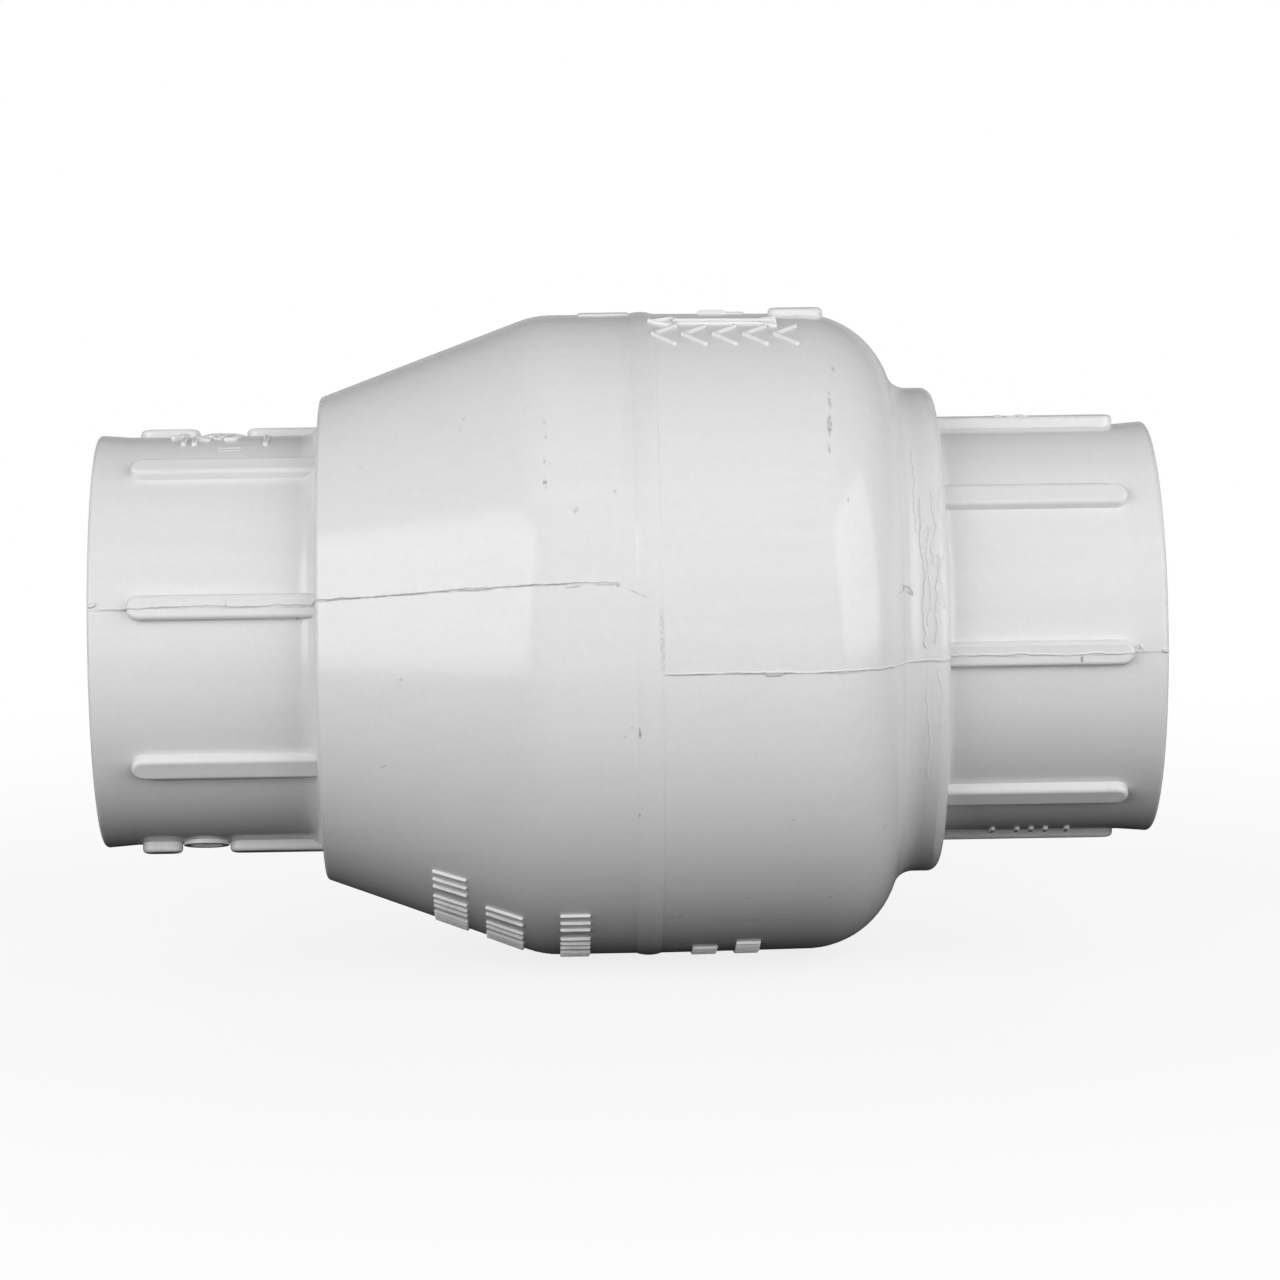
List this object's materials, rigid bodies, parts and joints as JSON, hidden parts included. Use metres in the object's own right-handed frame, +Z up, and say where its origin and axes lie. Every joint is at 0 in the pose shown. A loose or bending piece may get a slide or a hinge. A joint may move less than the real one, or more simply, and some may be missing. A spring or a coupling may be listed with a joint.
{
  "type": "swing non-return valve",
  "caption": "Moulded plastic in-line valve with ribbed solvent sockets and a hinged flapper inside, which lets water through one way only.",
  "frame": {"origin": "middle of the inlet socket's pipe stop, on the flow axis", "axes": "+X points out of the inlet socket, against the flow; +Z points up, towards the hinge pin; +Y runs along the hinge pin, to the rear"},
  "size_m": [0.1466, 0.0904, 0.0907],
  "materials": {
    "body_plastic": "white rigid PVC, as moulded, with a soft gloss and small scuffs",
    "cement": "set solvent cement",
    "bracket_plastic": "light grey rigid PVC",
    "flapper_plastic": "white rigid PVC",
    "seal_rubber": "black EPDM rubber",
    "stainless": "turned stainless steel",
    "spring_steel": "stamped stainless spring steel",
    "bearing_plastic": "natural acetal",
    "nylon": "blue nylon"
  },
  "bodies": {
    "valve_body": {"outlet_body": "body_plastic", "inlet_body": "body_plastic", "cement_ring": "cement", "hinge_bracket": "bracket_plastic", "bracket_washers": "stainless", "bracket_screws": "stainless", "hinge_pin": "stainless", "pin_clip_front": "spring_steel", "pin_clip_rear": "spring_steel", "thrust_washer_front": "bearing_plastic", "thrust_washer_rear": "bearing_plastic"},
    "flapper": {"flapper_arm": "bracket_plastic", "arm_bush_front": "bearing_plastic", "arm_bush_rear": "bearing_plastic", "flapper_disc": "flapper_plastic", "seal_disc": "seal_rubber", "seal_retainer": "flapper_plastic", "disc_bolt": "stainless", "bolt_o_ring": "seal_rubber", "disc_washer": "stainless", "lock_nut": "stainless", "nut_insert": "nylon"}
  },
  "joints": [
    {"name": "flapper_swing", "type": "hinge", "parent": "valve_body", "child": "flapper", "pos_m": [-0.0214, 0, 0.031], "axis": [0, 1, 0], "range_deg": [0, 70]}
  ]
}
